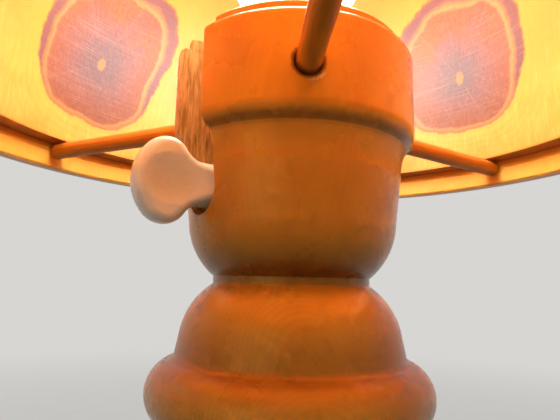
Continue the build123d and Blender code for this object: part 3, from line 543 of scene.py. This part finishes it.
def shade_pine():
    """Thin turned pine with big radial knots, which glows a little when it is lit from inside."""
    graph = Graph("shade_pine")
    place = graph.place
    x, y, z = graph.split(place)
    late, _ = growth_rings(graph, place, (7.0, -5.0), 3.1, 12.0)
    streak = fibres(graph, place, 12.0, across=1.1, along=0.10)
    cloud = graph.noise(graph.scaled(place, (0.022, 0.022, 0.03)), detail=3.0, rough=0.55)
    resin = graph.noise(graph.scaled(place, (0.05, 0.05, 0.02)), detail=3.0, rough=0.6)
    body = graph.mix(graph.span(cloud, 0.35, 0.65), PINE_PALE, PINE_DEEP)
    body = graph.mix(graph.times(late, 0.35), body, PINE_LATE)
    body = graph.mix(graph.span(streak, 0.5, 0.75, 0.0, 0.35), body, PINE_STREAK)
    body = graph.mix(graph.span(resin, 0.60, 0.76, 0.0, 0.4), body, PINE_RESIN)

    # Inside, the wood is painted browner higher up: painted shade for the dimmer light there
    facing_out = graph.dot(graph.make("ShaderNodeNewGeometry", {}, output="Normal"), graph.join(x, y, 0.0))
    outer = graph.span(facing_out, -20.0, 20.0)
    shade_high = graph.span(z, NECK + 64.0, NECK + 112.0, 0.0, 0.88, smooth=True)
    body = graph.mix(graph.times(shade_high, graph.span(outer, 1.0, 0.0)), body, PINE_SHADE_HIGH)

    mottle = graph.noise(graph.scaled(place, (0.9, 0.9, 0.45)), detail=3.0, rough=0.7)
    knotted = []
    cracked = []
    for knot in KNOTS:
        body, inside, crack = draw_knot(graph, body, mottle, outer, knot)
        knotted.append(inside)
        cracked.append(crack)

    # Lathe marks, scuffs over the knots, painted light on the rim face under the rabbet, and painted shade
    # on the rabbet's step
    lathe = graph.noise(graph.join(0.0, 0.0, graph.times(z, 0.9)), detail=4.0, rough=0.75)
    facing = graph.noise(graph.join(0.0, 0.0, graph.times(graph.length(x, y), 1.2)), detail=3.0, rough=0.7)
    body = graph.mix(graph.span(lathe, 0.5, 0.72, 0.0, 0.16), body, PINE_TURNED)
    slanting = graph.join(graph.times(z, 1.7), graph.times(x, 0.03), 4.0)
    scuff = graph.noise(slanting, detail=3.0, rough=0.7)
    scored = graph.noise(graph.scaled(place, (0.05, 0.05, 0.08)))
    scuffed = graph.times(graph.span(scuff, 0.57, 0.68), graph.span(scored, 0.42, 0.58))
    scuffed = graph.times(scuffed, graph.most(*knotted))
    body = graph.mix(graph.times(scuffed, 0.40), body, PINE_SCUFF)
    # Painted light on the bulb-lit face of the rim, painted shade on the step above it
    rim_light = graph.span(z, CEILING + 1.5, CEILING - 0.5)
    body = graph.mix(graph.times(rim_light, 0.45), body, PINE_RIM_LIGHT)
    body = graph.mix(graph.times(graph.band(z, CEILING, 0.7), 0.75), body, PINE_STEP_SHADE)
    marks = [(lathe, 0.8), (streak, 0.4), (facing, 0.25), (graph.most(*cracked), -2.0)]
    height = graph.sum(*(graph.times(mark, amount) for mark, amount in marks))
    return graph.set(
        Base_Color=body,
        Roughness=graph.span(streak, 0.3, 0.7, 0.36, 0.48),
        Normal=graph.bump(height, 0.5, 0.25),
        Coat_Weight=0.22,
        Coat_Roughness=0.25,
        Subsurface_Weight=0.30,
        Subsurface_Scale=0.009,
        Subsurface_Radius=(1.0, 0.45, 0.14),
    )


# Colours of the key
CREAM_PALE = (0.82, 0.875, 0.76)
CREAM_DEEP = (0.77, 0.805, 0.67)
CREAM_DISH_SHADE = (0.56, 0.60, 0.43)
CREAM_DIRT = (0.46, 0.28, 0.13)
CREAM_FLECK = (0.40, 0.26, 0.13)


def cream_key():
    """Old cream moulding with shade painted in the paddle's dish, and dirt where the neck meets the
    paddle.
    """
    graph = Graph("cream_key")
    place = graph.place
    x, y, z = graph.split(place)
    cloud = graph.noise(graph.scaled(place, 0.16), detail=3.0)
    body = graph.mix(graph.span(cloud, 0.3, 0.7), CREAM_PALE, CREAM_DEEP)
    # Painted shade in the paddle's dish
    away = graph.length(graph.sum(y, DISH_REACH), graph.less(z, KEY_Z))
    dish_shade = graph.span(away, 9.5, 2.5, smooth=True)
    body = graph.mix(graph.times(dish_shade, 0.60), body, CREAM_DISH_SHADE)
    grime = graph.noise(graph.scaled(place, 0.7), detail=4.0, rough=0.65)
    dirt = graph.times(graph.span(y, -31.0, -26.0), graph.span(grime, 0.35, 0.7, 0.1, 0.5))
    body = graph.mix(dirt, body, CREAM_DIRT)
    fleck = graph.span(graph.cells(graph.scaled(place, 0.40)), 0.02, 0.05, 1.0, 0.0)
    body = graph.mix(graph.times(fleck, 0.25), body, CREAM_FLECK)
    scratch = graph.noise(graph.scaled(place, (3.0, 0.35, 2.2)), detail=3.0, rough=0.7)
    seam = graph.band(x, 0.0, 0.12)
    height = graph.sum(graph.times(scratch, 0.10), graph.times(seam, 0.4))
    return graph.set(
        Base_Color=body,
        Roughness=graph.span(grime, 0.3, 0.7, 0.24, 0.36),
        Normal=graph.bump(height, 0.3, 0.10),
        Coat_Weight=0.20,
        Coat_Roughness=0.14,
        Subsurface_Weight=0.18,
        Subsurface_Scale=0.004,
        Subsurface_Radius=(1.0, 0.9, 0.7),
    )


def moulding(name, colour, dull=0.34):
    """A moulded plastic part with faint flow marks and handling wear."""
    graph = Graph(name)
    cloud = graph.noise(graph.scaled(graph.place, 0.11), detail=4.0, rough=0.6)
    fine = graph.noise(graph.scaled(graph.place, 2.2), detail=3.0, rough=0.6)
    darker = tuple(c * 0.712 for c in colour)
    dusty = tuple(min(1.0, c * 1.25 + 0.03) for c in colour)
    body = graph.mix(graph.span(cloud, 0.3, 0.7), colour, darker)
    body = graph.mix(graph.span(fine, 0.58, 0.72, 0.0, 0.25), body, dusty)
    return graph.set(
        Base_Color=body,
        Roughness=graph.span(cloud, 0.3, 0.7, dull - 0.05, dull + 0.10),
        Normal=graph.bump(fine, 0.15, 0.15),
    )


BROWN_TARNISH = (0.25, 0.16, 0.08)


def metal(name, colour, dull, brushed=(0.3, 0.3, 3.0), tarnish=BROWN_TARNISH, amount=0.35, pitch=None):
    """Metal with drawn or turned marks, tarnish and, where pitch is given, a screw thread round z."""
    graph = Graph(name)
    marks = graph.noise(graph.scaled(graph.place, brushed), detail=3.0, rough=0.7)
    cloud = graph.noise(graph.scaled(graph.place, 0.18), detail=4.0, rough=0.6)
    darker = tuple(c * 0.72 for c in colour)
    body = graph.mix(graph.span(marks, 0.35, 0.7, 0.0, 0.4), colour, darker)
    body = graph.mix(graph.span(cloud, 0.5, 0.72, 0.0, amount), body, tarnish)
    height = graph.times(marks, 0.12)
    if pitch:
        x, y, z = graph.split(graph.place)
        turn = graph.over(graph.math("ARCTAN2", y, x), 2 * math.pi)
        lead = graph.less(graph.over(z, pitch), turn)
        normal = graph.bump(graph.sum(height, graph.math("PINGPONG", lead, 0.5)), 0.7, 0.5)
    else:
        normal = graph.bump(height, 0.35, 0.12)
    return graph.set(
        Base_Color=body,
        Metallic=1.0,
        Roughness=graph.span(cloud, 0.3, 0.7, dull, dull + 0.18),
        Normal=normal,
    )


def felt():
    """Pressed wool felt, fuzzy and a little uneven."""
    graph = Graph("felt")
    fuzz = graph.noise(graph.scaled(graph.place, 3.2), detail=4.0, rough=0.75, twist=0.6)
    cloud = graph.noise(graph.scaled(graph.place, 0.07), detail=3.0)
    body = graph.mix(graph.span(fuzz, 0.3, 0.7), (0.022, 0.05, 0.028), (0.05, 0.095, 0.055))
    body = graph.mix(graph.span(cloud, 0.35, 0.7, 0.0, 0.5), body, (0.03, 0.055, 0.04))
    return graph.set(
        Base_Color=body,
        Roughness=0.95,
        Normal=graph.bump(fuzz, 0.9, 0.5),
        Sheen_Weight=0.35,
        Specular_IOR_Level=0.15,
    )


# Glow of the lit bulb, over GLOW_HEIGHT millimetres from the foot of its glass
BULB_STRENGTH = 27.0
GLOW_HEIGHT = 80.0
GLOW = [
    (0.0, (0.34, 0.24, 0.14)),
    (0.10, (0.80, 0.62, 0.42)),
    (0.30, (0.99, 0.93, 0.80)),
    (0.65, (0.98, 0.99, 0.92)),
    (1.0, (0.98, 0.98, 0.91)),
]


def frosted_glass():
    """A lit frosted envelope, brightest round the filament."""
    graph = Graph("frosted_glass")
    _, _, z = graph.split(graph.place)
    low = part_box("bulb_glass")[0].z * MM
    grain = graph.noise(graph.scaled(graph.place, 1.6), detail=3.0, rough=0.6)
    cloud = graph.noise(graph.scaled(graph.place, 0.08))
    body = graph.mix(graph.span(cloud, 0.3, 0.7), (0.92, 0.89, 0.82), (0.86, 0.82, 0.73))
    return graph.set(
        Base_Color=body,
        Roughness=graph.span(grain, 0.3, 0.7, 0.30, 0.42),
        Normal=graph.bump(grain, 0.12, 0.05),
        Emission_Color=graph.ramp(graph.span(z, low, low + GLOW_HEIGHT), GLOW),
        Emission_Strength=BULB_STRENGTH,
    )


def clear_glass():
    """The clear stem inside the bulb, slightly rippled."""
    graph = Graph("clear_glass")
    ripple = graph.noise(graph.scaled(graph.place, 0.3))
    body = graph.mix(graph.span(ripple, 0.3, 0.7), (0.93, 0.96, 0.95), (0.88, 0.92, 0.90))
    return graph.set(
        Base_Color=body,
        Roughness=graph.span(ripple, 0.3, 0.7, 0.03, 0.08),
        Normal=graph.bump(ripple, 0.2, 0.3),
        Transmission_Weight=0.9,
    )


# Stain pooled in quirks and grooves, with painted shade under the head, in its cove and over the bell:
# height, width, amount
HEAD_STAIN_AND_SHADE = [
    # Painted shade under the head; pooled stain and painted shade in the cove's quirk; stain in the top
    # step
    (NECK + 2.0, 5.0, 0.84),
    (QUIRK + 0.9, 1.3, 0.72),
    (QUIRK - 0.6, 0.4, 0.30),
    (TOP_STEP, 0.6, 0.5),
]
BELL_STAIN_AND_SHADE = [
    # Pooled stain and painted shade at the groove and below the joint, painted shade over the bell's lower
    # half, stain and painted shade in the quirk at its foot
    (GROOVE - 0.3, 2.4, 0.62),
    (JOINT - 0.6, 1.9, 0.34),
    (NECK - 20.0, 7.5, 0.50),
    (BELL_FOOT, 1.6, 0.8),
]
LOWER_POOLS = [
    (COLUMN_BEAD_TOP + 0.2, 0.9, 0.8),
    (COLUMN_FOOT + 0.2, 1.0, 0.8),
    (BAND_FOOT, 0.9, 0.7),
]
FOOT_POOLS = [(FOOT_BEAD_TOP + 0.2, 0.8, 0.8), (COLUMN_FOOT - 2.5, 0.7, 0.5)]

# Turned wood: name, pith towards the side that the photograph sees, seed, pooled stain and painted shade,
# ring spacing in millimetres, how far the rings show, and the blank's tint
# The tints are painted light: the head and bell are made greener and bluer against the shade's orange
# light on them, the lower column and foot browner
turned = {
    "lamp_head": turned_wood(
        "head_wood", (92.0, -66.0), 3.0, HEAD_STAIN_AND_SHADE, 0.9, 0.09, (1.0, 1.10, 1.40), head_details
    ),
    "bell_column": turned_wood(
        "bell_wood", (79.0, -44.0), 9.0, BELL_STAIN_AND_SHADE, 0.85, 0.22, (0.98, 1.03, 1.25)
    ),
    "lower_column": turned_wood(
        "column_wood", (58.0, -30.0), 15.0, LOWER_POOLS, 1.1, 0.20, (0.88, 0.70, 0.80)
    ),
    "foot": turned_wood(
        "foot_wood", (-30.0, -120.0), 21.0, FOOT_POOLS, 1.4, 0.22, (0.90, 0.72, 0.82)
    ),
}
for node, angle in ARM_ANGLES.items():
    turned[node] = dowel_wood(node + "_wood", angle, 2.0 + angle * 0.03)

ZINC = (0.52, 0.52, 0.50)
BRASS = (0.70, 0.49, 0.20)
ALUMINIUM = (0.76, 0.76, 0.76)
PIPE_PITCH = 1.0
finishes = {
    "shade_pine": shade_pine(),
    "felt": felt(),
    "zinc_steel": metal("zinc_steel", ZINC, 0.32, pitch=PIPE_PITCH),
    "brass_fitting": metal("brass_fitting", BRASS, 0.28),
    "cream_moulding": moulding("cream_moulding", (0.72, 0.62, 0.45)),
    "cream_key": cream_key(),
    "core_moulding": moulding("core_moulding", (0.60, 0.54, 0.44), 0.5),
    "dark_plastic": moulding("dark_plastic", (0.030, 0.024, 0.022), 0.42),
    "frosted_glass": frosted_glass(),
    "clear_glass": clear_glass(),
    "bulb_aluminium": metal("bulb_aluminium", ALUMINIUM, 0.26, tarnish=(0.4, 0.36, 0.3), amount=0.25),
    "black_vitrite": moulding("black_vitrite", (0.012, 0.012, 0.014), 0.2),
    "solder": metal("solder", (0.55, 0.56, 0.58), 0.3, brushed=(1.0, 1.0, 1.0)),
    "tungsten": metal("tungsten", (0.30, 0.30, 0.32), 0.35, brushed=(4.0, 4.0, 4.0)),
}
for part in frame["record"]["subparts"]:
    node = part["node"]
    finish = turned.get(node) or finishes[part["material_slot"]]
    for slot in nodes[node].material_slots:
        slot.material = finish


def lathe_mesh(name, rows, sides, radius_at):
    """A turned surface: radius_at gives the radius for a row's radius, height and turn."""
    mesh = bpy.data.meshes.new(name)
    form = bmesh.new()
    rings = []
    for radius, height in rows:
        ring = []
        for side in range(sides):
            turn = side / sides
            r = radius_at(radius, height, turn) / MM
            angle = 2 * math.pi * turn
            ring.append(form.verts.new((r * math.cos(angle), r * math.sin(angle), height / MM)))
        rings.append(ring)
    for low, high in zip(rings, rings[1:]):
        for side in range(sides):
            after = (side + 1) % sides
            form.faces.new((low[side], low[after], high[after], high[side]))
    form.faces.new(list(reversed(rings[0])))
    form.faces.new(rings[-1])
    form.normal_update()
    form.to_mesh(mesh)
    form.free()
    for face in mesh.polygons:
        face.use_smooth = True
    piece = bpy.data.objects.new(name, mesh)
    scene.collection.objects.link(piece)
    return piece


# The bulb's cap with its rolled screw thread, which fades out at both ends
cap_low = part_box("bulb_cap")[0].z * MM
cap_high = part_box("bulb_cap")[1].z * MM
CAP_RADIUS = 13.0
CAP_ROWS = 64
CAP_SIDES = 72
THREAD_PITCH = 3.62
THREAD_DEPTH = 1.15
THREAD_FADE = 1.6
thread_low = cap_low + 0.8
thread_high = cap_high - 5.0


def thread_radius(radius, height, turn):
    risen = max(0.0, (height - thread_low) / THREAD_FADE)
    left = max(0.0, (thread_high - height) / THREAD_FADE)
    wave = 0.5 - 0.5 * math.cos(2 * math.pi * (height / THREAD_PITCH - turn))
    return radius - THREAD_DEPTH * wave * min(1.0, risen, left)


cap_rows = [(7.2, cap_low), (12.2, cap_low), (12.8, cap_low + 0.5)]
for step in range(CAP_ROWS + 1):
    cap_rows.append((CAP_RADIUS, cap_low + 0.9 + (cap_high - 3.4 - cap_low) * step / CAP_ROWS))
cap_rows += [(13.2, cap_high - 2.0), (14.3, cap_high - 0.5), (14.6, cap_high), (14.2, cap_high)]
bulb_screw = lathe_mesh("bulb_screw_cap", cap_rows, CAP_SIDES, thread_radius)
bulb_screw.data.materials.append(finishes["bulb_aluminium"])
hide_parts("bulb_cap")
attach(bulb_screw, "bulb")


# Camera where the photographer stood: distance and angle from the lamp's axis, then where it looks
EYE_REACH = 138.0
EYE_ANGLE = math.radians(-35.3)
EYE_HEIGHT = NECK - 0.5
LOOK = math.radians(146.25)
PITCH = math.radians(9.0)
ROLL = math.radians(1.3)
FOCAL_PIXELS = 453.0
PHOTO_WIDTH = 560.0
SENSOR = 36.0
eye = Vector((EYE_REACH * math.cos(EYE_ANGLE), EYE_REACH * math.sin(EYE_ANGLE), EYE_HEIGHT)) / MM
forward = Vector((math.cos(LOOK) * math.cos(PITCH), math.sin(LOOK) * math.cos(PITCH), math.sin(PITCH)))
right = forward.cross(Vector((0, 0, 1))).normalized()
upward = right.cross(forward)
rolled_right = right * math.cos(ROLL) + upward * math.sin(ROLL)
rolled_up = upward * math.cos(ROLL) - right * math.sin(ROLL)
turned_to = Matrix((rolled_right, rolled_up, -forward)).transposed().to_4x4()
camera_data = bpy.data.cameras.new("camera")
camera_data.sensor_width = SENSOR
camera_data.lens = SENSOR * FOCAL_PIXELS / PHOTO_WIDTH
camera_data.clip_start = 0.002
camera_data.clip_end = 60.0
camera = bpy.data.objects.new("camera", camera_data)
camera.matrix_world = Matrix.Translation(eye) @ turned_to
scene.collection.objects.link(camera)
scene.camera = camera


def watching(graph):
    """1 for the camera, glossy and transmission rays, which see the backdrop."""
    rays = graph.tree.nodes.new("ShaderNodeLightPath").outputs
    return graph.most(rays["Is Camera Ray"], rays["Is Glossy Ray"], rays["Is Transmission Ray"])


# Pale floor that keeps the object's shadow and fades into the backdrop, from FADE_FROM to FADE_TO
PALE = (0.72, 0.705, 0.685)
PALE_GRAIN = tuple(c * 0.97 for c in PALE)
BACKDROP = 0.95
BOUNCE = (0.16, 0.155, 0.15)
FADE_FROM = 200.0
FADE_TO = 1500.0
floor_mesh = bpy.data.meshes.new("floor")
floor_form = bmesh.new()
bmesh.ops.create_circle(floor_form, cap_ends=True, radius=12.0, segments=96)
floor_form.to_mesh(floor_mesh)
floor_form.free()
floor = bpy.data.objects.new("floor", floor_mesh)
scene.collection.objects.link(floor)
paper = Graph("floor_paper")
watched = watching(paper)
grain = paper.noise(paper.scaled(paper.place, 0.02), detail=3.0)
pale_floor = paper.mix(paper.span(grain, 0.3, 0.7), PALE, PALE_GRAIN)
distance = paper.make("ShaderNodeVectorMath", {0: paper.place}, output="Value", operation="LENGTH")
far = paper.span(distance, FADE_FROM, FADE_TO, smooth=True)
paper.set(
    Base_Color=paper.mix(watched, BOUNCE, paper.mix(far, pale_floor, (0.0, 0.0, 0.0))),
    Roughness=0.9,
    Specular_IOR_Level=0.0,
    Emission_Color=PALE,
    Emission_Strength=paper.times(far, watched, BACKDROP),
)
floor_mesh.materials.append(paper.material)

# Soft plain world: the backdrop for the rays that see it, ambient light for the rest
AMBIENT = 0.08
AMBIENT_COLOUR = (1.0, 0.985, 0.96)
world = bpy.data.worlds.new("studio")
scene.world = world
world.use_nodes = True
sky = Nodes(world.node_tree)
ambient = sky.make("ShaderNodeBackground", {0: (*AMBIENT_COLOUR, 1.0), 1: AMBIENT})
backdrop = sky.make("ShaderNodeBackground", {0: (*PALE, 1.0), 1: BACKDROP})
either = sky.make("ShaderNodeMixShader", {0: watching(sky), 1: ambient, 2: backdrop})
world_output = sky.tree.nodes.new("ShaderNodeOutputWorld")
sky.tree.links.new(either, world_output.inputs[0])

# Soft lamps: angle round the object, height angle, distance and size in metres, watts, colour
WHITE = (1.0, 1.0, 1.0)
WARM = (1.0, 0.90, 0.76)
LAMPS = [
    (-35.0, 52.0, 1.6, 0.9, 8.0, WHITE),
    (60.0, 50.0, 1.6, 0.9, 7.0, WHITE),
    (150.0, 44.0, 1.7, 0.9, 7.0, WHITE),
    (-130.0, 48.0, 1.7, 0.9, 7.0, WHITE),
    (-68.0, 12.0, 1.5, 1.2, 2.8, WHITE),
    (18.0, 22.0, 1.5, 1.4, 0.8, WARM),
]
LIT_POINT = Vector((0, 0, 0.22))
for index, (angle, rise, distance, size, watts, colour) in enumerate(LAMPS):
    a, e = math.radians(angle), math.radians(rise)
    offset = Vector((math.cos(a) * math.cos(e), math.sin(a) * math.cos(e), math.sin(e))) * distance
    data = bpy.data.lights.new(f"softbox_{index}", "AREA")
    data.shape = "DISK"
    data.size = size
    data.energy = watts
    data.color = colour
    lamp = bpy.data.objects.new(f"softbox_{index}", data)
    lamp.location = LIT_POINT + offset
    lamp.rotation_mode = "QUATERNION"
    lamp.rotation_quaternion = (-offset).to_track_quat("-Z", "Y")
    scene.collection.objects.link(lamp)
